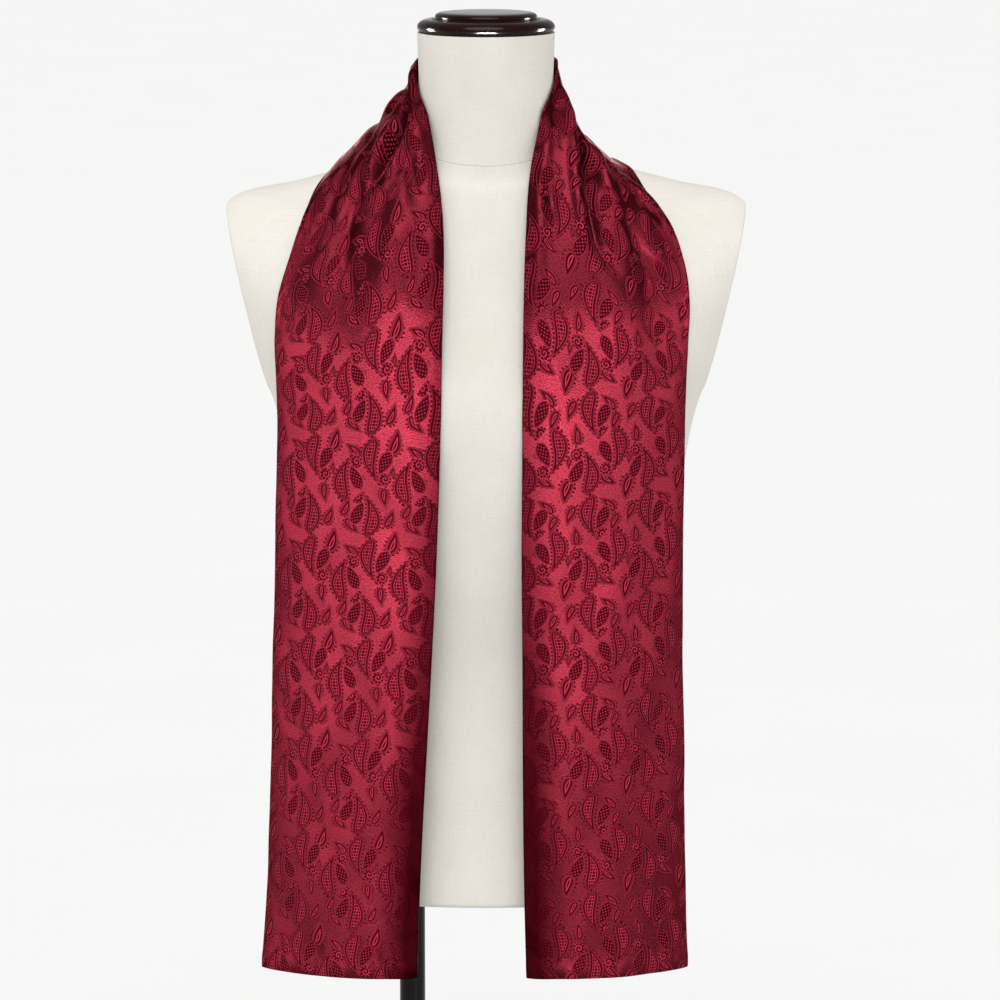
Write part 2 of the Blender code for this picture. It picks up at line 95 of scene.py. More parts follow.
LEFT_TURN = (
    Row(0.0360, 0.0440, 0.041, 0.0570, 0.1050, 0.169, -0.001),
    Row(0.0575, 0.0200, 0.043, 0.1000, 0.0780, 0.146, -0.004),
    Row(0.0610, -0.0060, 0.047, 0.1220, 0.0340, 0.133, -0.005),
    Row(0.0575, -0.0220, 0.064, 0.1360, -0.0160, 0.142, -0.003),
    Row(0.0470, -0.0480, 0.092, 0.1506, -0.0470, 0.166, 0.005),
    Row(0.0390, -0.0680, 0.129, 0.1626, -0.0650, 0.200, 0.011),
    Row(0.0338, -0.0960, 0.175, 0.1728, -0.0740, 0.236, 0.013),
    Row(0.0336, -0.1130, 0.222, 0.1760, -0.0760, 0.270, 0.013),
    Row(0.0350, -0.1205, 0.275, 0.1752, -0.0760, 0.305, 0.012),
)
Hang = namedtuple("Hang", "drop in_x out_x")
RIGHT_HANG = (
    Hang(0.345, 0.0315, 0.1684),
    Hang(0.450, 0.0309, 0.1677),
    Hang(0.550, 0.0317, 0.1683),
    Hang(0.650, 0.0322, 0.1701),
    Hang(0.740, 0.0334, 0.1718),
    Hang(HEM_DROP, 0.0352, 0.1740),
)
LEFT_HANG = (
    Hang(0.345, 0.0366, 0.1742),
    Hang(0.450, 0.0400, 0.1774),
    Hang(0.550, 0.0450, 0.1799),
    Hang(0.650, 0.0506, 0.1828),
    Hang(0.740, 0.0549, 0.1866),
    Hang(HEM_DROP, 0.0570, 0.1908),
)
HANG_IN_Y = -0.1255
HANG_OUT_Y = -0.0750
HANG_BOW = 0.012
FORWARD_FROM_ROW = 3.6
FORWARD_ROWS = 1.2

# ---- The folds. A fold is a line on the cloth. Each of its points has a row, a share across,
# and a depth and width in millimetres. A positive depth is a trough and a negative one a ridge.
# steep narrows the flank on the neck's side.
Fold = namedtuple("Fold", "steep points")
LEFT_FOLDS = (
    Fold(0.50, (
        (1.6, .16, 0, 9), (2.8, .13, 5, 8), (3.7, .11, 8, 7), (4.2, .12, 9, 6), (4.7, .17, 9, 6),
        (5.05, .27, 9, 7), (5.5, .36, 7, 9), (5.9, .42, 0, 11),
    )),
    Fold(1.0, (
        (3.0, .05, 0, 7), (3.9, .055, -3.5, 7), (4.8, .08, -3.5, 8), (5.6, .12, -1.5, 9),
        (6.4, .15, 0, 9),
    )),
    Fold(0.8, ((4.3, .24, 0, 9), (4.8, .32, -5, 9), (5.3, .44, -5, 10), (5.9, .55, 0, 12))),
    Fold(0.7, (
        (4.9, .42, 0, 12), (5.5, .50, 5, 13), (6.4, .57, 6, 15), (7.0, .56, 6, 17),
        (7.6, .51, 3, 18), (8.6, .44, 0, 20),
    )),
    Fold(1.2, (
        (5.7, .20, 0, 10), (6.5, .24, -3.5, 12), (7.4, .30, -4, 15), (8.4, .34, -2, 18),
        (9.6, .40, 0, 22),
    )),
    Fold(1.0, ((5.3, .13, 0, 5), (5.8, .16, 4, 5), (6.1, .15, 3, 5), (6.6, .15, 0, 6))),
    Fold(1.0, ((4.3, .50, 0, 8), (4.7, .45, 4, 8), (5.1, .46, 0, 8))),
    Fold(0.9, ((3.9, .60, 0, 12), (5.0, .68, 3, 13), (6.1, .76, 3, 15), (7.4, .80, 0, 18))),
    Fold(1.0, (
        (2.0, .22, 0, 11), (2.7, .20, 8, 10), (3.3, .235, 10, 9), (3.75, .27, 7, 8),
        (4.1, .29, 0, 8),
    )),
    Fold(1.0, ((2.0, .55, 0, 12), (3.0, .52, 4, 12), (3.9, .52, 4, 11), (4.6, .56, 0, 11))),
    Fold(1.0, ((6.6, .05, 0, 5), (7.4, .055, -2.0, 5), (8.8, .05, -1.5, 6), (10.2, .05, 0, 7))),
    Fold(1.0, ((5.0, .20, 0, 5), (5.4, .215, 3.5, 5), (5.8, .24, 0, 6))),
    Fold(1.0, (
        (8.0, .16, 0, 14), (10.0, .17, 1.6, 15), (12.0, .15, 1.8, 16), (15.0, .16, 1.2, 18),
    )),
    Fold(1.0, (
        (8.6, .70, 0, 20), (10.5, .72, -1.6, 22), (13.0, .66, -1.4, 22), (15.0, .64, -1.0, 24),
    )),
)
RIGHT_FOLDS = (
    Fold(0.55, (
        (1.4, .34, 0, 10), (2.6, .28, 5, 8), (3.6, .25, 7, 7), (4.5, .27, 9, 6), (5.0, .30, 9, 5),
        (5.5, .33, 8, 5), (6.1, .345, 6, 5), (6.6, .375, 6, 6), (6.9, .40, 5, 7), (7.1, .49, 3, 9),
        (7.3, .56, 0, 10),
    )),
    Fold(1.0, (
        (4.2, .20, 0, 7), (4.9, .235, -3.5, 6), (5.8, .27, -4, 5), (6.4, .30, -4, 5),
        (6.9, .335, -3, 6), (7.4, .38, 0, 8),
    )),
    Fold(1.0, (
        (4.6, .40, 0, 8), (5.2, .44, -4.5, 9), (5.8, .50, -5, 11), (6.4, .55, -3, 12),
        (7.0, .60, 0, 13),
    )),
    Fold(0.8, (
        (5.0, .46, 0, 6), (5.15, .53, 4, 6), (5.2, .62, 5, 7), (5.15, .74, 5, 7), (5.35, .80, 4, 7),
        (5.3, .90, 0, 8),
    )),
    Fold(1.0, ((5.0, .35, 0, 6), (5.25, .345, 4, 6), (5.5, .385, 4, 6), (5.9, .40, 0, 7))),
    Fold(1.0, ((6.0, .10, 0, 6), (6.4, .133, 4, 7), (6.8, .15, 0, 7))),
    Fold(1.0, (
        (5.9, .56, 0, 10), (6.3, .61, 4, 11), (6.9, .76, 5, 15), (7.8, .80, 4, 18),
        (9.2, .76, 0, 22),
    )),
    Fold(1.2, ((6.6, .46, 0, 14), (7.5, .54, -3, 16), (8.4, .56, -2, 18), (9.6, .54, 0, 22))),
    Fold(1.0, ((4.1, .07, 0, 4), (4.6, .09, 2, 4), (5.3, .10, 0, 5))),
    Fold(1.0, (
        (1.8, .60, 0, 12), (2.8, .56, 5, 12), (3.8, .58, 6, 11), (4.6, .66, 4, 10),
        (5.2, .76, 0, 10),
    )),
    Fold(1.0, (
        (4.6, .05, 0, 5), (5.4, .065, -2.2, 5), (6.6, .07, -2.6, 5), (8.0, .065, -2.0, 6),
        (9.6, .06, 0, 7),
    )),
    Fold(1.0, ((3.5, .11, 0, 7), (4.05, .14, -4, 7), (4.4, .19, -4, 7), (4.9, .22, 0, 7))),
    Fold(1.0, (
        (8.0, .14, 0, 12), (10.0, .13, 1.6, 13), (12.4, .15, 1.8, 14), (15.0, .17, 1.4, 16),
    )),
    Fold(1.0, ((8.6, .62, 0, 22), (11.0, .58, -1.6, 24), (15.0, .55, -1.2, 24))),
)
# These cross the middle of the back. Their rows are negative on the viewer's left.
BACK_FOLDS = (
    Fold(0.8, (
        (-2.2, .52, 0, 13), (-1.4, .44, 3, 12), (-0.5, .40, 4, 12), (0.5, .42, 3, 12),
        (1.5, .48, 0, 13),
    )),
    Fold(1.0, ((-1.3, .74, 0, 14), (-0.4, .70, -3, 14), (0.8, .72, -3, 14), (2.0, .78, 0, 15))),
    Fold(0.9, ((-0.8, .18, 0, 8), (0.1, .20, 2.5, 9), (1.1, .17, 3, 8), (2.0, .15, 0, 8))),
    Fold(1.0, ((-3.0, .80, 0, 12), (-2.1, .70, 4, 11), (-1.2, .62, 0, 12))),
    Fold(1.0, ((0.6, .88, 0, 10), (1.7, .80, 3, 11), (2.8, .78, 0, 12))),
)
# Small puckers over the hem's stitching: share across, then depth, rise and width in millimetres.
Pucker = namedtuple("Pucker", "across depth rise width")
LEFT_PUCKERS = (
    Pucker(0.13, 0.9, 11, 3.0), Pucker(0.21, 1.2, 14, 3.4), Pucker(0.33, 1.1, 17, 3.6),
    Pucker(0.43, 0.7, 10, 2.8), Pucker(0.57, 1.2, 19, 4.0), Pucker(0.70, 0.7, 12, 3.2),
    Pucker(0.84, 0.9, 15, 3.4),
)
RIGHT_PUCKERS = (
    Pucker(0.10, 0.8, 12, 3.2), Pucker(0.24, 1.1, 15, 3.6), Pucker(0.38, 0.8, 10, 3.0),
    Pucker(0.52, 1.2, 18, 3.8), Pucker(0.66, 0.8, 12, 3.0), Pucker(0.77, 1.1, 16, 3.6),
    Pucker(0.90, 0.7, 10, 3.0),
)

# The cloth's mesh and its edges, in metres.
TURN_ROWS = 9
TURN_STEP = 0.0023
TAIL_STEP = 0.0048
ACROSS_COUNT = 66
CLOTH_HALF = 0.0006
EDGE_HALF = 0.0014
EDGE_REACH = 0.004
# How far the first points in from an edge lie, so that they follow the round of the fold.
ROUND_IN = EDGE_HALF * (1 - np.cos(np.linspace(0, pi / 2, 5)[:-1]))
ACROSS_CLEAR = EDGE_HALF * 1.3
HEM_CLEAR = EDGE_HALF * 1.4
HEM_SWELL = 0.0005
HEM_SWELL_AT = 0.009
HEM_SWELL_REACH = 0.006
STITCH_AT = 0.0125
STITCH_REACH = 0.0016
STITCH_DEPTH = 0.00055
PUCKER_FOOT = 0.011
INNER_ROLL = 0.006
OUTER_ROLL = 0.004
ROLL_REACH = 0.0083

# How the folds are laid. Near the long edges they fade, by a share and over a share of the width.
FOLD_GAIN = 1.35
FOLD_SAMPLES = 24
FOLD_REACH = 3.2
INNER_FADE = (0.8, 0.030)
OUTER_FADE = (0.7, 0.05)

# The slow waves of hanging silk: how many, their headings, their lengths and their depth.
WAVE_SEED = 11
WAVE_COUNT = 26
WAVE_HEADING = 0.75
WAVE_LENGTHS = (0.022, 0.110)
WAVE_DEPTH = 0.0012

# How the cloth is kept off the form.
CLEARANCE = 0.0011
CLEAR_SEARCH = 0.03
CLEAR_ROUNDS = 4
LEAST_PUSH = 0.3


def smooth_through(knots, values, at):
    """A curve through values at rising knots, read at each place in at."""
    knots = np.asarray(knots, float)
    values = np.asarray(values, float)
    steps = np.diff(knots)
    slopes = np.diff(values, axis=0) / steps[:, None]
    tangents = np.empty_like(values)
    tangents[0] = slopes[0]
    tangents[-1] = slopes[-1]
    share = (steps[:-1] / (steps[:-1] + steps[1:]))[:, None]
    tangents[1:-1] = slopes[:-1] * (1 - share) + slopes[1:] * share
    span = np.clip(np.searchsorted(knots, at, side="right") - 1, 0, len(knots) - 2)
    width = steps[span][:, None]
    t = ((at - knots[span]) / steps[span])[:, None]
    start = values[span] * (1 + 2 * t) * (1 - t) ** 2 + tangents[span] * width * t * (1 - t) ** 2
    end = values[span + 1] * t * t * (3 - 2 * t) - tangents[span + 1] * width * t * t * (1 - t)
    return start + end


def new_object(name, mesh, material=None):
    """An object in the scene, around a mesh."""
    obj = bpy.data.objects.new(name, mesh)
    bpy.context.scene.collection.objects.link(obj)
    if material:
        mesh.materials.append(material)
    return obj


# ---- The form.
FORM_AROUND = 144
FORM_PER_SPAN = 9
FORM_EDGE_STEPS = 6
FORM_SHARP = 38
DRILL_AROUND = 48


def signed_power(value, power):
    return np.sign(value) * np.abs(value) ** power


def form_ring(level):
    """A level's outline: x and y from the form's middle, and how far it drops."""
    turn = np.arange(FORM_AROUND) * 2 * pi / FORM_AROUND
    reach = 2 / level.square
    across = signed_power(np.cos(turn), reach)
    depth = signed_power(np.sin(turn), reach)
    far = np.where(depth < 0, level.middle - level.front, level.back - level.middle)
    far_drop = np.where(depth < 0, level.front_drop, level.back_drop)
    share = np.sin(turn) ** 2
    drop = level.side_drop * (1 - share) + far_drop * share
    return np.stack([level.side * across, level.middle + far * depth, drop], axis=1)


def shrunk(level, inset, lift):
    """A level drawn in and raised, for the rounded edge under the form."""
    return Level(*np.subtract(level, (inset, -inset, 0, inset, lift, lift, lift, 0)))


def form_levels():
    """All levels from the neck to the underside, with the rounded edge at the foot."""
    rows = np.array(FORM_LEVELS)
    travel = np.hypot(np.diff(rows[:, 0]), np.diff(rows[:, 4:7].mean(axis=1)))
    knots = np.concatenate([[0], np.cumsum(travel)])
    at = np.concatenate([
        np.linspace(a, b, FORM_PER_SPAN, endpoint=False) for a, b in zip(knots, knots[1:])
    ])
    dense = [Level(*row) for row in smooth_through(knots, rows, at)]
    foot = FORM_LEVELS[-1]
    for step in range(FORM_EDGE_STEPS):
        turn = step / (FORM_EDGE_STEPS - 1) * pi / 2
        dense.append(shrunk(foot, FORM_EDGE * (1 - cos(turn)), FORM_EDGE * (1 - sin(turn))))
    return dense


def ring_faces(rings, around):
    """The faces between rings of points that follow one another."""
    faces = []
    for ring in range(rings - 1):
        for step in range(around):
            a = ring * around + step
            b = ring * around + (step + 1) % around
            faces.append((a, b, b + around, a + around))
    return faces


# The arm plate's steps from the cut edge inward: how far in, and how far out of the plane.
PLATE_STEPS = (
    (0.0006, 0.0005), (0.0018, 0.0009), (0.0026, 0.0008), (0.0031, -0.0004), (0.0036, -0.0004),
    (0.0041, 0.0008), (0.0052, 0.0014), (0.0100, 0.0017), (0.0250, 0.0020),
)
PLATE_LIFT = 0.0022


def arm_plate(body, rim, outward):
    """A padded flat end that stands in a narrow seam round the arm."""
    centre = sum((v.co for v in rim), Vector()) / len(rim)
    up = Vector((0, 1, 0)).cross(outward)
    ordered = sorted(rim, key=lambda v: atan2((v.co - centre).dot(up), v.co.y - centre.y))
    last = ordered
    for inset, lift in PLATE_STEPS:
        ring = []
        for start in ordered:
            arm = start.co - centre
            ring.append(body.verts.new(centre + arm * (1 - inset / arm.length) + outward * lift))
        for k, vert in enumerate(ring):
            after = (k + 1) % len(ring)
            face = body.faces.new((last[k], last[after], ring[after], vert))
            face.material_index = 1
        last = ring
    middle = body.verts.new(centre + outward * PLATE_LIFT)
    for k, vert in enumerate(last):
        face = body.faces.new((vert, last[(k + 1) % len(last)], middle))
        face.material_index = 1


def drilled(form):
    """The form's mesh with the hole for the pole."""
    bpy.ops.mesh.primitive_cylinder_add(
        vertices=DRILL_AROUND,
        radius=POLE_HOLE,
        depth=POLE_TOP - POLE_HOLE_FOOT,
        location=(0, 0, (POLE_TOP + POLE_HOLE_FOOT) / 2),
    )
    drill = bpy.context.object
    hole = form.modifiers.new("hole", "BOOLEAN")
    hole.operation = "DIFFERENCE"
    hole.object = drill
    bpy.context.view_layer.update()
    graph = bpy.context.evaluated_depsgraph_get()
    done = bpy.data.meshes.new_from_object(form.evaluated_get(graph))
    form.modifiers.clear()
    bpy.data.objects.remove(drill, do_unlink=True)
    return done


def build_form(material, plate_material):
    """The covered body, with a flat plate at each arm and a hole underneath."""
    rings = [form_ring(level) for level in form_levels()]
    points = np.concatenate(rings)
    points[:, 0] += FORM_X
    points[:, 2] = DATUM_Z - points[:, 2]
    faces = ring_faces(len(rings), FORM_AROUND)
    faces.append(tuple(range(FORM_AROUND)))
    faces.append(tuple(range(len(points) - FORM_AROUND, len(points))))
    mesh = bpy.data.meshes.new("form_cover")
    mesh.from_pydata([tuple(p) for p in points], [], faces)
    mesh.materials.append(material)
    mesh.materials.append(plate_material)
    body = bmesh.new()
    body.from_mesh(mesh)
    bmesh.ops.recalc_face_normals(body, faces=body.faces)
    lean = atan2(ARM_TIP_X - ARM_LOW_X, ARM_LOW_DROP - ARM_TIP_DROP)
    # The plane of an arm end would reach the waist too, so it cuts the shoulders alone.
    lowest = DATUM_Z - ARM_LOW_DROP - ARM_BELOW
    for side in (-1, 1):
        outward = Vector((side * cos(lean), 0.0, -sin(lean)))
        tip = Vector((FORM_X + side * ARM_TIP_X, 0.0, DATUM_Z - ARM_TIP_DROP))
        faces = [f for f in body.faces if f.calc_center_median().z > lowest]
        # A set would lose the order, and with it the same mesh each run.
        edges = dict.fromkeys(e for f in faces for e in f.edges)
        verts = dict.fromkeys(v for f in faces for v in f.verts)
        cut = bmesh.ops.bisect_plane(
            body,
            geom=[*verts, *edges, *faces],
            plane_co=tip,
            plane_no=outward,
            clear_outer=True,
        )
        cut_edges = [g for g in cut["geom_cut"] if isinstance(g, bmesh.types.BMEdge)]
        rim = dict.fromkeys(v for e in cut_edges for v in e.verts)
        arm_plate(body, rim, outward)
    bmesh.ops.recalc_face_normals(body, faces=body.faces)
    body.normal_update()
    body.to_mesh(mesh)
    body.free()
    mesh.shade_smooth()
    mesh.set_sharp_from_angle(angle=radians(FORM_SHARP))
    form = new_object("form_cover", mesh)
    form.data = drilled(form)
    return form


# ---- The scarf.
def side_rows(turn, hang, side):
    """One side's rows, from the middle of the back down to the hem."""
    rows = [BACK_ROW, *turn]
    for level in hang:
        rows.append(Row(
            level.in_x, HANG_IN_Y, level.drop, level.out_x, HANG_OUT_Y, level.drop, HANG_BOW
        ))
    rows[-1] = rows[-1]._replace(out_drop=HEM_DROP + HEM_SLANT)
    table = np.array(rows)
    table[:, [0, 3]] = table[:, [0, 3]] * side + SCARF_SHIFT
    return table


def row_lengths(table):
    """How far apart the rows are, as the mean of both edges."""
    edges = np.linalg.norm(np.diff(table[:, 3:6], axis=0), axis=1)
    return (edges + np.linalg.norm(np.diff(table[:, 0:3], axis=0), axis=1)) / 2


def row_places(edges):
    """Where the mesh has its lines across, counted in rows."""
    places = []
    for row, length in enumerate(edges):
        step = TURN_STEP if row < TURN_ROWS else TAIL_STEP
        count = max(1, round(length / step))
        places.append(np.linspace(row, row + 1, count, endpoint=False))
    return np.concatenate([*places, [len(edges)]])


def read_rows(table, places, edges):
    """The rows read as a smooth surface. The back is smooth across its middle."""
    knots = np.concatenate([[0], np.cumsum(edges)])
    at = np.interp(places, np.arange(len(knots)), knots)
    mirrored = table[1:2].copy()
    mirrored[:, [0, 3]] = 2 * SCARF_SHIFT - mirrored[:, [0, 3]]
    lead = np.concatenate([[-edges[0]], knots])
    return smooth_through(lead, np.concatenate([mirrored, table]), at)


def grid_normals(grid):
    along = np.gradient(grid, axis=0)
    sideways = np.gradient(grid, axis=1)
    normals = np.cross(along, sideways)
    return normals / np.linalg.norm(normals, axis=2, keepdims=True)


def fold_field(folds, arc_of, along, across):
    """How far the folds sink each point of the cloth, in metres."""
    sunk = np.zeros((len(along), len(across)))
    place = np.stack(np.broadcast_arrays(along[:, None], across[None, :] * SCARF_WIDTH), axis=-1)
    for fold in folds:
        table = np.array(fold.points, float)
        knots = np.arange(len(table))
        fine = np.linspace(0, len(table) - 1, FOLD_SAMPLES * (len(table) - 1) + 1)
        line = smooth_through(knots, table, fine)
        path = np.stack([arc_of(line[:, 0]), line[:, 1] * SCARF_WIDTH], axis=1)
        depth = line[:, 2] / 1000 * FOLD_GAIN
        width = line[:, 3] / 1000
        tangent = np.gradient(path, axis=0)
        tangent /= np.linalg.norm(tangent, axis=1, keepdims=True)
        reach = FOLD_REACH * width.max()
        low, high = path[:, 0].min() - reach, path[:, 0].max() + reach
        rows = np.nonzero((along > low) & (along < high))[0]
        near = place[rows]
        gap = near[:, :, None, :] - path[None, None, :, :]
        best = np.argmin((gap ** 2).sum(axis=3), axis=2)
        offset = near - path[best]
        heading = tangent[best]
        side = heading[..., 0] * offset[..., 1] - heading[..., 1] * offset[..., 0]
        distance = np.hypot(offset[..., 0], offset[..., 1])
        flank = np.where(side < 0, fold.steep, 1.0) * width[best]
        sunk[rows] += depth[best] * np.exp(-(distance / flank) ** 2)
    return sunk


def blurred(field):
    """The field with its sharpest steps softened, along the cloth and across it."""
    inner = (field[:-2] + field[2:] + 2 * field[1:-1]) / 4
    field = np.concatenate([field[:1], inner, field[-1:]])
    inner = (field[:, :-2] + field[:, 2:] + 2 * field[:, 1:-1]) / 4
    return np.concatenate([field[:, :1], inner, field[:, -1:]], axis=1)


def across_places():
    """Shares of the width. The last few at each edge follow the round of the fold."""
    edge = ROUND_IN / SCARF_WIDTH
    middle = np.linspace(ACROSS_CLEAR, SCARF_WIDTH - ACROSS_CLEAR, ACROSS_COUNT) / SCARF_WIDTH
    return np.concatenate([edge, middle, 1 - edge[::-1]])


def rounded(gap):
    """How much of the thickness is left at a distance from an edge, as on a half circle."""
    return np.sqrt(np.clip(1 - np.clip(1 - gap / EDGE_HALF, 0, 1) ** 2, 0, 1))


def half_thickness(across, to_hem):
    """Half the thickness: two layers that part a little at the folded long edges and the hem."""
    to_edge = np.minimum(across, 1 - across) * SCARF_WIDTH
    swell = EDGE_HALF - CLOTH_HALF
    half = CLOTH_HALF + swell * np.exp(-(to_edge / EDGE_REACH) ** 2)
    turned_in = HEM_SWELL * np.exp(-((to_hem - HEM_SWELL_AT) / HEM_SWELL_REACH) ** 2)
    half = half[None, :] + turned_in[:, None]
    return half * rounded(to_edge)[None, :] * rounded(to_hem)[:, None]


def puckers_at(puckers, across, to_hem):
    """Small pleats that the hem's stitching draws in, just above it."""
    sunk = np.zeros((len(to_hem), len(across)))
    line = np.exp(-((to_hem - STITCH_AT) / STITCH_REACH) ** 2)
    sunk += STITCH_DEPTH * line[:, None]
    for pucker in puckers:
        rise = pucker.rise / 1000
        far = np.clip((to_hem - PUCKER_FOOT) / rise, -1.2, 3)
        up = np.where(far > 0, np.exp(-(far * 1.3) ** 2), np.exp(-(far * 3.0) ** 2))
        gap = (across - pucker.across) * SCARF_WIDTH / (pucker.width / 1000)
        ripple = np.cos(gap * 1.7) * np.exp(-(gap * 0.62) ** 2)
        sunk += pucker.depth / 1000 * up[:, None] * ripple[None, :]
    return sunk


def slow_waves(along, across):
    """Slow, shallow unevenness of hanging silk, from a few waves in each direction."""
    dice = np.random.default_rng(WAVE_SEED)
    total = np.zeros((len(along), len(across)))
    for _ in range(WAVE_COUNT):
        heading = dice.uniform(-WAVE_HEADING, WAVE_HEADING)
        wave = dice.uniform(*WAVE_LENGTHS)
        phase = dice.uniform(0, 2 * pi)
        flow = along[:, None] * sin(heading) + across[None, :] * SCARF_WIDTH * cos(heading)
        total += np.sin(flow * 2 * pi / wave + phase) * wave
    return total / np.abs(total).max() * WAVE_DEPTH


def clear_of_form(grid, places, half, tree):
    """Pushes the cloth off the form: along its normal at the neck, and forward on the chest."""
    forward = np.array((0.0, -1.0, 0.0))
    for i, place in enumerate(np.abs(places)):
        share = min(max((place - FORWARD_FROM_ROW) / FORWARD_ROWS, 0.0), 1.0)
        for j in range(grid.shape[1]):
            point = grid[i, j]
            rest = half[i, j] + CLEARANCE
            for _ in range(CLEAR_ROUNDS):
                near, normal, _, _ = tree.find_nearest(Vector(point), CLEAR_SEARCH)
                if near is None:
                    break
                normal = np.array(normal)
                height = (point - np.array(near)) @ normal
                if height >= rest or normal @ normal < 0.5:
                    break
                way = normal * (1 - share) + forward * share
                point += way * (rest - height) / max(way @ normal, LEAST_PUSH)
    return grid


def mirrored_fold(fold):
    """A back fold as the left side reads it, with its rows counted the other way."""
    return Fold(fold.steep, tuple((-p[0], *p[1:]) for p in fold.points))


def near_edge(across, fade):
    """A fade's share at each place across, counted from the edge at 0."""
    share, reach = fade
    return share * np.exp(-(across / reach) ** 2)


def scarf_surface(tree):
    """The cloth's middle surface, its half thickness and its own flat coordinates."""
    across = across_places()
    steady = 1 - near_edge(across, INNER_FADE) - near_edge(1 - across, OUTER_FADE)
    sides = []
    for turn, hang, folds, puckers, side in (
        (LEFT_TURN, LEFT_HANG, LEFT_FOLDS, LEFT_PUCKERS, -1),
        (RIGHT_TURN, RIGHT_HANG, RIGHT_FOLDS, RIGHT_PUCKERS, 1),
    ):
        table = side_rows(turn, hang, side)
        edges = row_lengths(table)
        places = row_places(edges)
        ends = np.cumsum(edges)
        lengths = np.concatenate([[0], ends])
        along = np.interp(places, np.arange(len(lengths)), lengths)
        to_hem = lengths[-1] - along
        # The last rows follow the round of the hem.
        along = np.concatenate([along[to_hem > HEM_CLEAR], lengths[-1] - ROUND_IN[::-1]])
        places = np.interp(along, lengths, np.arange(len(lengths)))
        rows = read_rows(table, places, edges)

        def arc_of(row, lengths=lengths):
            return np.interp(np.abs(row), np.arange(len(lengths)), lengths) * np.sign(row)

        back = BACK_FOLDS if side > 0 else [mirrored_fold(fold) for fold in BACK_FOLDS]
        depth = fold_field(folds, arc_of, along, across)
        depth += fold_field(back, arc_of, along, across)
        depth = blurred(depth) * steady[None, :]
        depth += puckers_at(puckers, across, lengths[-1] - along)
        sides.append((rows, depth, places, along))
    left, right = sides
    rows = np.concatenate([left[0][::-1], right[0][1:]])
    depth = np.concatenate([left[1][::-1], right[1][1:]])
    places = np.concatenate([-left[2][::-1], right[2][1:]])
    along = np.concatenate([-left[3][::-1], right[3][1:]])
    depth += slow_waves(along, across)
    inner, outer, bow = rows[:, None, 0:3], rows[:, None, 3:6], rows[:, None, 6:7]
    share = across[None, :, None]
    grid = inner * (1 - share) + outer * share
    grid[:, :, 2] = DATUM_Z - grid[:, :, 2]
    grid[:, :, 0] += FORM_X
    outward = grid_normals(grid)
    grid = grid + outward * bow * 4 * share * (1 - share)
    rolled = INNER_ROLL * np.exp(-across * SCARF_WIDTH / ROLL_REACH)
    rolled += OUTER_ROLL * np.exp(-(1 - across) * SCARF_WIDTH / ROLL_REACH)
    outward = grid_normals(grid)
    grid = grid - outward * (depth + rolled[None, :])[:, :, None]
    to_hem = np.minimum(along - along[0], along[-1] - along)
    half = half_thickness(across, to_hem)
    grid = clear_of_form(grid, places, half, tree)
    return grid, half, along, across


def build_scarf(tree, material):
    """The scarf as one closed shell, with its flat coordinates as its UV map."""
    grid, half, along, across = scarf_surface(tree)
    normals = grid_normals(grid)
    rows, columns = grid.shape[:2]
    front = grid + normals * half[:, :, None]
    back = grid - normals * half[:, :, None]
    index_front = np.arange(rows * columns).reshape(rows, columns)
    index_back = np.empty_like(index_front)
    rim = np.zeros((rows, columns), bool)
    rim[[0, -1]] = True
    rim[:, [0, -1]] = True
    index_back[rim] = index_front[rim]
    index_back[~rim] = rows * columns + np.arange((~rim).sum())
    points = np.concatenate([front.reshape(-1, 3), back[~rim]])
    faces = []
    coords = []
    u = across * SCARF_WIDTH
    for index, turned in ((index_front, False), (index_back, True)):
        for i in range(rows - 1):
            for j in range(columns - 1):
                corners = [(i, j), (i + 1, j), (i + 1, j + 1), (i, j + 1)]
                if turned:
                    corners.reverse()
                faces.append([index[c] for c in corners])
                coords.extend((u[c[1]], along[c[0]]) for c in corners)
    mesh = bpy.data.meshes.new("silk_scarf")
    mesh.from_pydata([tuple(p) for p in points], [], faces)
    layer = mesh.uv_layers.new(name="cloth")
    layer.data.foreach_set("uv", np.array(coords, np.float32).ravel())
    mesh.shade_smooth()
    body = bmesh.new()
    body.from_mesh(mesh)
    bmesh.ops.recalc_face_normals(body, faces=body.faces)
    body.to_mesh(mesh)
    body.free()
    return new_object("silk_scarf", mesh, material)


# ---- The cap's turned outline, in millimetres from its top: radius and drop.
CAP_OUTLINE = (
    (0, 0), (12, 0.02), (22, 0.08), (31, 0.2), (36.5, 0.4), (38.6, 0.62), (40.0, 1.0), (41.2, 1.6),
    (42.1, 2.4), (42.6, 3.4), (42.7, 4.3), (42.5, 4.9), (43.0, 5.1), (44.0, 5.2), (44.8, 5.4),
    (45.0, 5.75), (45.4, 6.0), (48.4, 6.0), (50.6, 6.25), (52.8, 6.9), (54.7, 7.9), (56.2, 9.2),
    (57.2, 10.7), (57.7, 12.2), (57.6, 13.6), (57.0, 14.9), (56.0, 15.9), (54.8, 16.5),
    (53.6, 16.75), (0, 16.75),
)
CAP_AROUND = 128
CAP_SHARP = 50


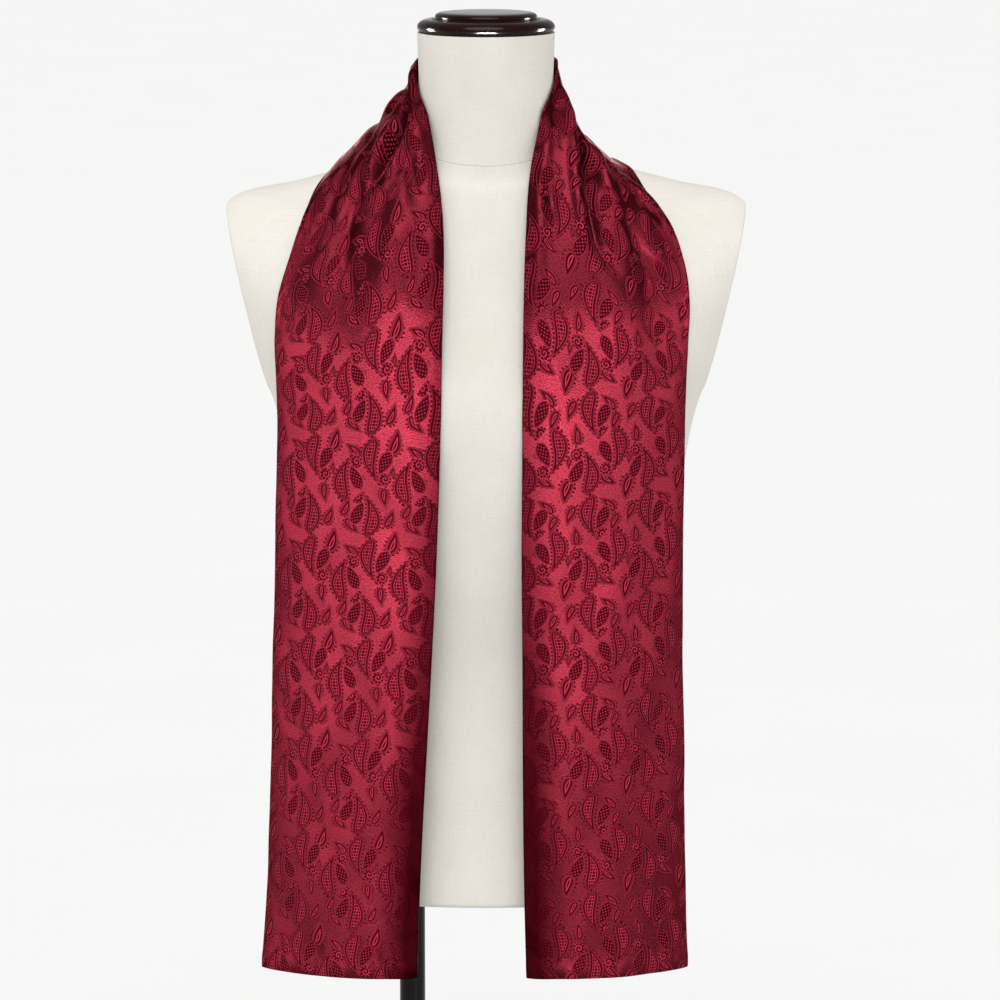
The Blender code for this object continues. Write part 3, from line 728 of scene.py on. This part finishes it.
def build_cap(material):
    """A shallow domed disc with a rounded edge and a fine bead, on a wider ring."""
    body = bmesh.new()
    turns = [2 * pi * k / CAP_AROUND for k in range(CAP_AROUND)]
    rings = []
    for radius, drop_here in CAP_OUTLINE:
        reach = radius / 1000
        z = DATUM_Z - CAP_DROP - drop_here / 1000
        rings.append([
            body.verts.new((FORM_X + reach * cos(turn), CAP_Y + reach * sin(turn), z))
            for turn in (turns if radius else (0.0,))
        ])
    for upper, lower in zip(rings, rings[1:]):
        for k in range(CAP_AROUND):
            after = (k + 1) % CAP_AROUND
            corners = [upper[k % len(upper)], lower[k % len(lower)]]
            if len(lower) > 1:
                corners.append(lower[after])
            if len(upper) > 1:
                corners.append(upper[after])
            body.faces.new(corners)
    bmesh.ops.recalc_face_normals(body, faces=body.faces)
    mesh = bpy.data.meshes.new("neck_cap_turned")
    body.to_mesh(mesh)
    body.free()
    mesh.shade_smooth()
    mesh.set_sharp_from_angle(angle=radians(CAP_SHARP))
    return new_object("neck_cap_turned", mesh, material)


# ---- Materials.
MIX_FACTOR, MIX_FIRST, MIX_SECOND, MIX_RESULT = 0, 6, 7, 2


def new_material(name):
    """A material, its node tree and its shader."""
    material = bpy.data.materials.new(name)
    material.use_nodes = True
    return material, material.node_tree, material.node_tree.nodes["Principled BSDF"]


def feed(slot, value):
    """Gives an input a Value, another node's output, a colour or a plain number."""
    if isinstance(value, Value):
        value = value.socket
    if isinstance(value, bpy.types.NodeSocket):
        slot.id_data.links.new(value, slot)
    elif isinstance(value, tuple):
        slot.default_value = (*value, 1)
    else:
        slot.default_value = value


def feed_all(node, values):
    for name, value in values.items():
        feed(node.inputs[name], value)


class Value:
    """A number in a material. Each sum on it makes a maths node there."""

    def __init__(self, socket):
        self.socket = socket

    def maths(self, operation, *others, flip=False):
        node = self.socket.id_data.nodes.new("ShaderNodeMath")
        node.operation = operation
        inputs = [self, *others]
        if flip:
            inputs.reverse()
        for slot, value in zip(node.inputs, inputs):
            feed(slot, value)
        return Value(node.outputs[0])

    __add__ = partialmethod(maths, "ADD")
    __sub__ = partialmethod(maths, "SUBTRACT")
    __rsub__ = partialmethod(maths, "SUBTRACT", flip=True)
    __mul__ = partialmethod(maths, "MULTIPLY")
    abs = partialmethod(maths, "ABSOLUTE")
    sin = partialmethod(maths, "SINE")
    root = partialmethod(maths, "SQRT")
    power = partialmethod(maths, "POWER")
    least = partialmethod(maths, "MINIMUM")
    most = partialmethod(maths, "MAXIMUM")
    less = partialmethod(maths, "LESS_THAN")
    wrap = partialmethod(maths, "WRAP")
    angle = partialmethod(maths, "ARCTAN2")

    def clamp(self):
        return self.most(0.0).least(1.0)


# ---- The damask pattern, in millimetres on the flat cloth.
REPEAT_ACROSS = 52.8
REPEAT_ALONG = 84.2
LINE = 0.32


def band(gap, start, end):
    """1 where gap lies between start and end, with soft sides."""
    return ((gap - start) * (1 / LINE) + 0.5).clamp() * ((end - gap) * (1 / LINE) + 0.5).clamp()


def inside(gap, start):
    """1 where gap is past start, with a soft side."""
    return ((gap - start) * (1 / LINE) + 0.5).clamp()


def drop(x, y, length, half, lean, bend, power):
    """How far inside a teardrop a point is, and its share of the way from head to tip.

    The round head is at y 0 and the tip at y = length.
    """
    t = (y * (1 / length)).clamp()
    widest = 0.5 / (0.5 + power)
    scale = half / (widest ** 0.5 * (1 - widest) ** power)
    width = (t + 0.012).root() * (1.0 - t).power(power) * scale
    past = (y * -1.0).most(y - length).most(0.0)
    return width - (x - t * lean - t * t * bend).abs() - past, t


def disc(x, y, cx, cy, radius):
    """How far inside a disc a point is."""
    dx = x - cx
    dy = y - cy
    return radius - (dx * dx + dy * dy).root()


def spun(x, y, degrees):
    """A point in axes that are turned by some degrees."""
    c, s = cos(radians(degrees)), sin(radians(degrees))
    return x * c + y * s, y * c - x * s


def pair(x, y):
    """A long comma that curls round an egg and a spiral rosette.

    It gives the body, the fine lines on it and where it leaves room for the small drops.
    """
    gap, t = drop(x + 4.0, y + 17.5, 37.5, 6.6, -24.0, 31.0, 1.35)
    veins = ((gap * 3.1 - 1.9).sin() * 3.0 - 1.2).clamp() * inside(gap, 1.3)
    beads = ((t * 88.0).sin() * 3.0 - 1.5).clamp() * inside(gap, 3.6)
    scallops = band(gap, -1.35, -0.2) * ((t * 74.0).sin() * 2.4 + 0.3).clamp()
    ex, ey = spun(x - 9.6, y + 7.6, 32)
    egg_gap, _ = drop(ex, ey, 20.0, 5.3, 0.0, 1.5, 0.85)
    seeds = ((ex * 2.0 + 0.6).sin() * (ey * 1.7).sin() * 5.0 - 1.7).clamp() * inside(egg_gap, 1.7)
    rx, ry = x - 5.6, y - 14.0
    radius = (rx * rx + ry * ry).root()
    spiral = ((ry.angle(rx) + radius * 2.5).sin() * 3.0).clamp()
    disc_gap = 4.9 - radius
    petals = band(radius, 3.7, 4.9) * ((ry.angle(rx) * 9.0).sin() * 3.0 - 0.9).clamp()
    crown = inside(disc(x, y, -6.6, -19.6, 1.2), 0.0)
    crown = crown.most(inside(disc(x, y, -9.6, -17.6, 0.8), 0.0))
    crown = crown.most(inside(disc(x, y, -3.2, -18.4, 0.8), 0.0))
    clear = 1.0 - inside(egg_gap, -0.8).most(inside(disc_gap, -0.6))
    body = (inside(gap, 0.0).most(scallops) * clear).most(inside(egg_gap, 0.0)).most(crown)
    body = body.most(inside(disc_gap, 0.0))
    lines = veins.most(beads).most(band(gap, 0.35, 0.85)) * clear
    lines = lines.most(seeds).most(band(egg_gap, 0.3, 0.75))
    lines = lines.most(spiral * inside(radius * -1.0, -3.5)).most(petals)
    zone = inside(gap, -1.6).most(inside(egg_gap, -1.3)).most(inside(disc_gap, -0.9))
    return body, lines, 1.0 - zone


def small(x, y):
    """A small curled drop with a vein in the lines' lighter colour, which is partly a painted
    glint, and a fan of short strokes at its head.
    """
    gap, t = drop(x, y + 7.0, 15.5, 4.0, -2.0, 6.5, 1.0)
    veins = ((gap * 3.0 - 1.7).sin() * 3.0 - 0.6).clamp() * inside(gap, 1.2)
    fan = band(gap, -1.4, -0.2) * ((t * 40.0).sin() * 2.0 - 0.2).clamp() * inside(t * -1.0, -0.5)
    bead = inside(disc(x, y, 0.3, -9.0, 0.8), 0.0)
    return inside(gap, 0.0).most(fan).most(bead), veins.most(band(gap, 0.3, 0.75))


# Where the motifs lie in one repeat. A pair is mirrored across and along by its two signs, and
# a small drop is turned by some degrees and scaled.
PAIRS = ((9.8, 0.0, 1, 1), (22.5, 29.6, -1, 1), (50.1, 44.9, -1, -1))
SMALLS = (
    (45.9, 15.6, 190, 1.05), (18.6, 53.6, -38, 1.1), (35.4, 60.2, 30, 1.4), (21.1, 73.4, 150, 1.1),
    (39.2, 80.6, 40, 1.1), (24.6, 4.2, 38, 1.05), (13.0, 31.5, -25, 0.6), (38.0, 36.4, 25, 0.65),
)


def mirrored(dx, dy, across, along):
    return dx * across, dy * along


def spun_and_scaled(dx, dy, degrees, scale):
    px, py = spun(dx, dy, degrees)
    return px * (1 / scale), py * (1 / scale)


def nearest(x, y, places, squeeze, own):
    """A point in the axes of the motif that is nearest to it."""
    best = None
    for at_x, at_y, *turn in places:
        dx = (x - at_x).wrap(REPEAT_ACROSS / 2, -REPEAT_ACROSS / 2)
        dy = (y - at_y).wrap(REPEAT_ALONG / 2, -REPEAT_ALONG / 2)
        px, py = own(dx, dy, *turn)
        far = dx * dx + dy * dy * squeeze
        if best is None:
            best, bx, by = far, px, py
            continue
        closer = far.less(best)
        best = far.least(best)
        bx = bx + (px - bx) * closer
        by = by + (py - by) * closer
    return bx, by


def paisley(x, y):
    """How much of the motif's body lies on top, and how much of its fine lines."""
    body, lines, clear = pair(*nearest(x, y, PAIRS, 0.42, mirrored))
    leaf, veins = small(*nearest(x, y, SMALLS, 1.0, spun_and_scaled))
    return body.most(leaf * clear), lines.most(veins * clear)


def noise(tree, vector, scale, detail=2.0, roughness=0.5):
    node = tree.nodes.new("ShaderNodeTexNoise")
    feed_all(node, {"Scale": scale, "Detail": detail, "Roughness": roughness, "Vector": vector})
    return Value(node.outputs["Fac"])


def mixed(tree, factor, first, second):
    """A colour between two others."""
    node = tree.nodes.new("ShaderNodeMix")
    node.data_type = "RGBA"
    feed(node.inputs[MIX_FIRST], first)
    feed(node.inputs[MIX_SECOND], second)
    feed(node.inputs[MIX_FACTOR], factor)
    return node.outputs[MIX_RESULT]


def bumped(tree, shader, height, distance):
    """Relief of a height, in metres, on the shader's normal."""
    node = tree.nodes.new("ShaderNodeBump")
    feed_all(node, {"Distance": distance, "Height": height})
    feed(shader.inputs["Normal"], node.outputs["Normal"])


SATIN = (0.022, 0.0007, 0.0020)
SATIN_LIT = (0.122, 0.0108, 0.0190)
MOTIF = (0.019, 0.0004, 0.0016)
MOTIF_LINE_PAINTED_GLINT = (0.136, 0.0098, 0.0198)
EDGE_PAINTED_SHADE = (0.012, 0.0003, 0.001)
SPARKLE_SCALE = 1050.0
CLOUD_SCALE = 38.0
# Millimetres: the painted shade at the inner edge, which past LOW_FROM grows darker and wider.
LOW_FROM = 350.0
LOW_OVER = 400.0
EDGE_OVER = 13.0
SILK_RELIEF = 0.00016


def silk_material():
    """Satin with a damask figure: a bright metallic ground, dark leaves, fine lines whose lighter
    colour is partly a painted glint of their threads, and painted shade along the inner edge.
    """
    material, tree, shader = new_material("crimson damask silk")
    uv = tree.nodes.new("ShaderNodeUVMap")
    uv.uv_map = "cloth"
    parts = tree.nodes.new("ShaderNodeSeparateXYZ")
    feed(parts.inputs[0], uv.outputs["UV"])
    x = Value(parts.outputs[0]) * 1000.0
    y = Value(parts.outputs[1]) * 1000.0
    motif, lines = paisley(x, y)
    sparkle = noise(tree, uv.outputs["UV"], SPARKLE_SCALE, 1.0)
    cloud = noise(tree, uv.outputs["UV"], CLOUD_SCALE, 2.0)
    grain = (sparkle - 0.5) * 1.9
    ground = mixed(tree, (grain + 0.5).clamp(), SATIN, SATIN_LIT)
    colour = mixed(tree, motif, ground, MOTIF)
    # The fine lines of the figure: a lighter colour that is partly their own and partly a painted
    # glint of their threads.
    colour = mixed(tree, lines, colour, MOTIF_LINE_PAINTED_GLINT)
    # Painted shade: a darker colour along the inner edge, stronger and wider toward the hems.
    low = ((y.abs() - LOW_FROM) * (1 / LOW_OVER)).clamp()
    edge = (1.4 - x * (1.0 - low * 0.5) * (1 / EDGE_OVER)).clamp()
    colour = mixed(tree, edge * (low * 0.64 + 0.32), colour, EDGE_PAINTED_SHADE)
    feed_all(shader, {
        "Base Color": colour,
        "Roughness": motif * 0.10 + grain * 0.04 + cloud * 0.05 + 0.24,
        "Metallic": 0.90 - motif * 0.36 - lines * 0.44,
        "Specular IOR Level": 0.03,
        "Specular Tint": (0.45, 0.08, 0.12),
        "Anisotropic": 0.75,
        "Anisotropic Rotation": motif * 0.25,
        "Sheen Weight": 0.01,
        "Sheen Roughness": 0.35,
        "Sheen Tint": (1.0, 0.45, 0.55),
    })
    tangent = tree.nodes.new("ShaderNodeTangent")
    tangent.direction_type = "UV_MAP"
    tangent.uv_map = "cloth"
    feed(shader.inputs["Tangent"], tangent.outputs[0])
    bumped(tree, shader, motif * 0.5 + lines * 0.5 + grain * 0.6, SILK_RELIEF)
    return material


def placed(tree):
    """Where a point lies in millimetres, with x counted from the form's middle."""
    source = tree.nodes.new("ShaderNodeTexCoord")
    parts = tree.nodes.new("ShaderNodeSeparateXYZ")
    feed(parts.inputs[0], source.outputs["Object"])
    x, y, z = (Value(out) * 1000.0 for out in parts.outputs)
    return x - FORM_X * 1000, y, z


def joined(tree, x, y, z=0.0):
    node = tree.nodes.new("ShaderNodeCombineXYZ")
    for slot, value in zip(node.inputs, (x, y, z)):
        feed(slot, value)
    return node.outputs[0]


LINEN = (0.70, 0.665, 0.60)
LINEN_PALE = (0.79, 0.765, 0.71)
LINEN_SEAM = (0.52, 0.47, 0.40)
# Millimetres: a thread, and the body's mean radius, which turns an angle into a length.
THREAD = 1.05
BODY_ROUND = 115.0
# The seam round the neck: its drop in metres at turns from the front, in radians.
NECK_SEAM = (
    (0.0, 0.1290), (0.6, 0.1250), (1.2, 0.1130), (1.8, 0.1040), (2.6, 0.0930), (3.2, 0.0900),
)
SEAM_TURN_MAX = 3.2
SEAM_DROP_MAX = 0.2
SEAM_HALF = 0.45
LINEN_RELIEF = 0.00012


def linen_material(name, plate):
    """Plain woven linen: a fine grid of threads, with thicker slubs both ways."""
    material, tree, shader = new_material(name)
    x, y, z = placed(tree)
    turn = x.angle(y * -1.0)
    around = y if plate else turn * BODY_ROUND
    warp = noise(tree, joined(tree, around * 1.3, z * 0.045), 1.0, 3.0, 0.6)
    weft = noise(tree, joined(tree, around * 0.05, z * 1.3, 7.0), 1.0, 3.0, 0.6)
    slub = (warp.most(weft) - 0.52) * 5.5
    cloud = noise(tree, joined(tree, around, z, 3.0), 0.02, 2.0)
    tone = (slub * 0.45 + (cloud - 0.5) * 0.9 + 0.38).clamp()
    colour = mixed(tree, 1.0 - tone, LINEN_PALE, LINEN)
    threads = (around * (2 * pi / THREAD)).sin() * (z * (2 * pi / THREAD)).sin()
    relief = threads * 0.30 + slub.clamp() * 0.6
    if not plate:
        curve = tree.nodes.new("ShaderNodeFloatCurve")
        points = curve.mapping.curves[0].points
        for k, (at, drop_here) in enumerate(NECK_SEAM):
            spot = (at / SEAM_TURN_MAX, drop_here / SEAM_DROP_MAX)
            if k < 2:
                points[k].location = spot
            else:
                points.new(*spot)
        curve.mapping.update()
        feed(curve.inputs["Value"], turn.abs() * (1 / SEAM_TURN_MAX))
        seam_z = DATUM_Z * 1000 - Value(curve.outputs[0]) * (SEAM_DROP_MAX * 1000)
        seam = inside((z - seam_z).abs() * -1.0, -SEAM_HALF)
        back_join = inside((turn.abs() - pi).abs() * -BODY_ROUND, -SEAM_HALF)
        seam = seam.most(back_join)
        colour = mixed(tree, seam * 0.35, colour, LINEN_SEAM)
        relief = relief - seam * 1.5
    feed_all(shader, {
        "Base Color": colour,
        "Roughness": 0.93 - slub.clamp() * 0.08,
        "Specular IOR Level": 0.25,
        "Sheen Weight": 0.06,
    })
    bumped(tree, shader, relief, LINEN_RELIEF)
    return material


WOOD_DARK = (0.0040, 0.0008, 0.0007)
WOOD_RED = (0.030, 0.0045, 0.0040)
WOOD_RELIEF = 0.000012


def wood_material():
    """Dark lacquered wood: rings of fine grain under a clear gloss."""
    material, tree, shader = new_material("lacquered wood")
    x, y, z = placed(tree)
    drift = noise(tree, joined(tree, x * 0.05, y * 0.012, z * 0.05), 1.0, 3.0)
    rings = ((x + drift * 30.0) * 2.2).sin() * 0.5 + 0.5
    pores = noise(tree, joined(tree, x * 2.2, y * 0.12, z * 2.2), 1.0, 3.0, 0.65)
    tone = (rings * 0.45 + pores * 0.75 - 0.25).clamp()
    feed_all(shader, {
        "Base Color": mixed(tree, tone, WOOD_DARK, WOOD_RED),
        "Roughness": pores * 0.05 + 0.12,
        "Specular IOR Level": 0.14,
    })
    bumped(tree, shader, pores * 0.5 + rings * 0.2, WOOD_RELIEF)
    return material


PAINT_DARK = (0.0025, 0.0028, 0.0026)
PAINT_WORN = (0.008, 0.009, 0.0085)
PAINT_RELIEF = 0.00004


def steel_material():
    """Black painted steel: an even gloss with a slight orange peel and fine wear."""
    material, tree, shader = new_material("black painted steel")
    x, y, z = placed(tree)
    peel = noise(tree, joined(tree, x, y, z), 0.35, 2.0)
    dust = noise(tree, joined(tree, x, y, z), 1.8, 3.0, 0.7)
    feed_all(shader, {
        "Base Color": mixed(tree, dust, PAINT_DARK, PAINT_WORN),
        "Roughness": dust * 0.08 + peel * 0.08 + 0.10,
        "Specular IOR Level": 0.12,
    })
    bumped(tree, shader, peel, PAINT_RELIEF)
    return material


FLOOR_DULL = (0.905, 0.905, 0.90)
FLOOR_PALE = (0.925, 0.925, 0.92)


def floor_material():
    """A plain pale floor with a faint cloud in its tone."""
    material, tree, shader = new_material("pale floor")
    x, y, _ = placed(tree)
    cloud = noise(tree, joined(tree, x, y), 0.003, 3.0)
    speck = noise(tree, joined(tree, x, y), 0.5, 2.0)
    feed_all(shader, {
        "Base Color": mixed(tree, cloud, FLOOR_DULL, FLOOR_PALE),
        "Roughness": speck * 0.1 + 0.75,
    })
    return material


# ---- Camera, floor and light. The camera's axis falls by CAMERA_FALL over CAMERA_BACK.
CAMERA_LENS = 171.986
CAMERA_SENSOR = 36
CAMERA_ASIDE = 0.011645
CAMERA_BACK = 4.0
CAMERA_RISE = 0.28
CAMERA_FALL = 0.70
FLOOR_HALF = 60
SKY_STRENGTH = 0.40
SUN_STRENGTH = 2.35
SUN_WIDTH = 50
SUN_TILT = (30, -3, 0)


def build_camera():
    data = bpy.data.cameras.new("camera")
    data.lens = CAMERA_LENS
    data.sensor_width = CAMERA_SENSOR
    data.clip_end = 200
    camera = bpy.data.objects.new("camera", data)
    bpy.context.scene.collection.objects.link(camera)
    camera.location = (FORM_X + CAMERA_ASIDE, -CAMERA_BACK, DATUM_Z + CAMERA_RISE)
    camera.rotation_euler = (pi / 2 - atan(CAMERA_FALL / CAMERA_BACK), 0, 0)
    bpy.context.scene.camera = camera


# The first three have different heights about one middle, so that the light fades up and down.
Softbox = namedtuple("Softbox", "name place aim wide high power lights")
CHEST = (0.06, -0.10, 0.86)
CAP = (0.06, -0.01, 1.24)
SOFTBOXES = (
    Softbox("front softbox", (0.06, -2.30, 0.66), CHEST, 3.3, 0.30, 22, "cloth"),
    Softbox("front softbox middle", (0.06, -2.31, 0.66), CHEST, 3.3, 0.72, 52, "cloth"),
    Softbox("front softbox tall", (0.06, -2.32, 0.68), CHEST, 3.3, 1.25, 34, "cloth"),
    Softbox("upper softbox", (0.06, -2.10, 1.95), CHEST, 2.8, 0.90, 26, "cloth"),
    Softbox("top softbox", (0.06, -1.20, 2.70), CHEST, 2.8, 0.90, 22, "cloth"),
    Softbox("left softbox", (-2.05, -1.15, 0.62), CHEST, 2.2, 0.95, 50, "cloth"),
    Softbox("right softbox", (2.17, -1.15, 0.72), CHEST, 2.2, 0.80, 36, "cloth"),
    Softbox("back softbox", (0.06, 2.40, 1.60), CHEST, 2.0, 1.00, 20, "cloth"),
    Softbox("left fill", (-2.05, -0.80, 1.10), CHEST, 1.4, 1.4, 8.5, "form"),
    Softbox("right fill", (2.17, -0.80, 1.10), CHEST, 1.4, 1.4, 8.5, "form"),
    Softbox("low gloss", (0.10, -1.30, 0.25), CAP, 0.80, 1.10, 620, "gloss"),
    Softbox("left gloss", (-2.05, 0.60, 1.00), CAP, 0.60, 1.40, 190, "gloss"),
    Softbox("right gloss", (2.20, 0.60, 1.00), CAP, 0.60, 1.40, 190, "gloss"),
    Softbox("back gloss", (0.03, 2.40, 1.41), CAP, 0.50, 0.30, 0.16, "gloss"),
    Softbox("pole gloss", (1.25, -1.60, 0.40), (0, 0, 0.46), 0.20, 0.90, 16, "pole"),
)


def add_softbox(box):
    """An area light that the camera doesn't see. The gloss and pole boxes show as shine alone."""
    data = bpy.data.lights.new(box.name, "AREA")
    data.shape = "RECTANGLE"
    data.size = box.wide
    data.size_y = box.high
    data.energy = box.power
    light = bpy.data.objects.new(box.name, data)
    light.location = box.place
    toward = Vector(box.aim) - Vector(box.place)
    light.rotation_euler = toward.to_track_quat("-Z", "Y").to_euler()
    light.visible_camera = False
    light.visible_diffuse = box.lights in ("cloth", "form")
    bpy.context.scene.collection.objects.link(light)


def build_stage():
    """The floor, the white surroundings, a wide sun and the softboxes."""
    mesh = bpy.data.meshes.new("floor")
    corners = [(x * FLOOR_HALF, y * FLOOR_HALF, 0) for x, y in ((-1, -1), (1, -1), (1, 1), (-1, 1))]
    mesh.from_pydata(corners, [], [(0, 1, 2, 3)])
    floor = new_object("floor", mesh, floor_material())
    world = bpy.data.worlds.new("studio")
    world.use_nodes = True
    background = world.node_tree.nodes["Background"]
    feed_all(background, {"Color": (1.0, 1.0, 1.0), "Strength": SKY_STRENGTH})
    bpy.context.scene.world = world
    sun = bpy.data.lights.new("sun", "SUN")
    sun.energy = SUN_STRENGTH
    sun.angle = radians(SUN_WIDTH)
    lamp = bpy.data.objects.new("sun", sun)
    lamp.rotation_euler = [radians(tilt) for tilt in SUN_TILT]
    bpy.context.scene.collection.objects.link(lamp)
    for box in SOFTBOXES:
        add_softbox(box)
    bpy.context.scene.view_settings.view_transform = "Standard"


silk = silk_material()
linen = linen_material("linen cover", False)
plate = linen_material("linen arm plate", True)
wood = wood_material()
metal = steel_material()

build_camera()
build_stage()

form = build_form(linen, plate)
bpy.context.view_layer.update()
tree = BVHTree.FromObject(form, bpy.context.evaluated_depsgraph_get())
scarf = build_scarf(tree, silk)
cap = build_cap(wood)

for name in ("pole", "base_plate"):
    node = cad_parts[name]
    for slot in node.material_slots:
        slot.material = metal

for piece, nodes, slot in (
    (form, ("form_torso",), "linen"),
    (cap, ("neck_cap",), "lacquered_wood"),
    (scarf, ("scarf_left_tail", "scarf_neck_wrap", "scarf_right_tail"), "silk"),
):
    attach(piece, "root")
    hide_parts(*nodes)

# Each softbox lights its own pieces, as flags and screens would have it.
lit = {"cloth": scarf, "form": form, "gloss": cap, "pole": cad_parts["pole"]}
for group, piece in lit.items():
    receivers = bpy.data.collections.new("lit " + group)
    receivers.objects.link(piece)
    for box in SOFTBOXES:
        if box.lights == group:
            bpy.data.objects[box.name].light_linking.receiver_collection = receivers
